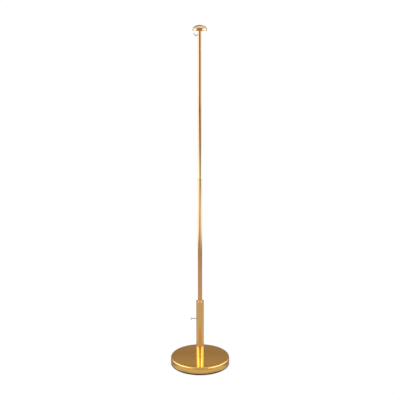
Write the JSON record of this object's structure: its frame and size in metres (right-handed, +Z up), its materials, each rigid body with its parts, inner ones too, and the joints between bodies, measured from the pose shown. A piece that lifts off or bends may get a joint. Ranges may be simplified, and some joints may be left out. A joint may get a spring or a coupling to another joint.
{
  "type": "telescopic ceremonial pole stanchion",
  "caption": "Tall polished brass telescopic pole on a round weighted base, with a mushroom cap, an open side hook and a thumb screw that clamps the pole in its socket.",
  "frame": {"origin": "on the floor, on the pole's axis, at the centre of the base's underside", "axes": "+Z up along the pole; the hook and the thumb screw point along -X"},
  "size_m": [0.325, 0.325, 1.8415],
  "materials": {
    "base_brass": "polished and lacquered, mirror bright",
    "socket_brass": "polished and lacquered, fine lengthwise polish lines",
    "lower_pole_brass": "polished and lacquered drawn tube",
    "upper_pole_brass": "polished and lacquered drawn tube",
    "cap_brass": "polished and lacquered, mirror bright",
    "turned_brass": "as turned, unpolished",
    "nickel": "nickel plated, bright",
    "zinc_steel": "zinc plated, satin",
    "cast_iron": "as cast, painted matt black",
    "rubber": "matt black",
    "nylon": "natural nylon, matt",
    "black_plastic": "moulded, matt black"
  },
  "bodies": {
    "base": {"floor_pad": "rubber", "edge_ring": "rubber", "base_weight": "cast_iron", "base_cover": "base_brass", "base_bolt": "zinc_steel", "spring_washer": "zinc_steel", "flat_washer": "zinc_steel", "socket_plug": "turned_brass", "socket_tube": "socket_brass", "socket_collar": "socket_brass", "clamp_bush": "turned_brass", "bottom_guide": "nylon"},
    "clamp_pad": {"pressure_pad": "nylon"},
    "clamp_screw": {"thumb_screw": "nickel"},
    "pole_foot": {"foot_glide": "black_plastic"},
    "lower_section": {"lower_pole": "lower_pole_brass", "guide_bush": "lower_pole_brass"},
    "lock_body": {"lock_expander": "nylon"},
    "lock_wedge": {"lock_cone": "turned_brass"},
    "upper_section": {"upper_pole": "upper_pole_brass", "slide_sleeve": "nylon", "lock_plug": "zinc_steel", "lock_end_nut": "zinc_steel", "top_plug": "turned_brass", "hook": "nickel", "cap_stud": "zinc_steel", "cap_boss": "turned_brass", "cap_plate": "cap_brass", "cap_dome": "cap_brass"}
  },
  "joints": [
    {"name": "clamp_travel", "type": "slide", "parent": "base", "child": "clamp_pad", "axis": [-1, 0, 0], "range_m": [0, 0.0024]},
    {"name": "clamp_turn", "type": "hinge", "parent": "clamp_pad", "child": "clamp_screw", "pos_m": [-0.03, 0, 0.262], "axis": [-1, 0, 0], "range_deg": [0, 1080]},
    {"name": "pole_lift", "type": "slide", "parent": "base", "child": "pole_foot", "axis": [0, 0, 1], "range_m": [0, 0.15]},
    {"name": "pole_turn", "type": "hinge", "parent": "pole_foot", "child": "lower_section", "pos_m": [0, 0, 0.2], "axis": [0, 0, 1], "continuous": true},
    {"name": "pole_extend", "type": "slide", "parent": "lower_section", "child": "lock_body", "axis": [0, 0, 1], "range_m": [-0.7, 0]},
    {"name": "lock_twist", "type": "hinge", "parent": "lock_body", "child": "upper_section", "pos_m": [0, 0, 0.95], "axis": [0, 0, 1], "range_deg": [0, 1080]},
    {"name": "cone_travel", "type": "slide", "parent": "lock_body", "child": "lock_wedge", "axis": [0, 0, -1], "range_m": [0, 0.003]}
  ],
  "couplings": [
    {"joint": "clamp_turn", "follows": "clamp_travel", "rad_per_m": 7854},
    {"joint": "lock_twist", "follows": "cone_travel", "rad_per_m": 6283.2}
  ]
}
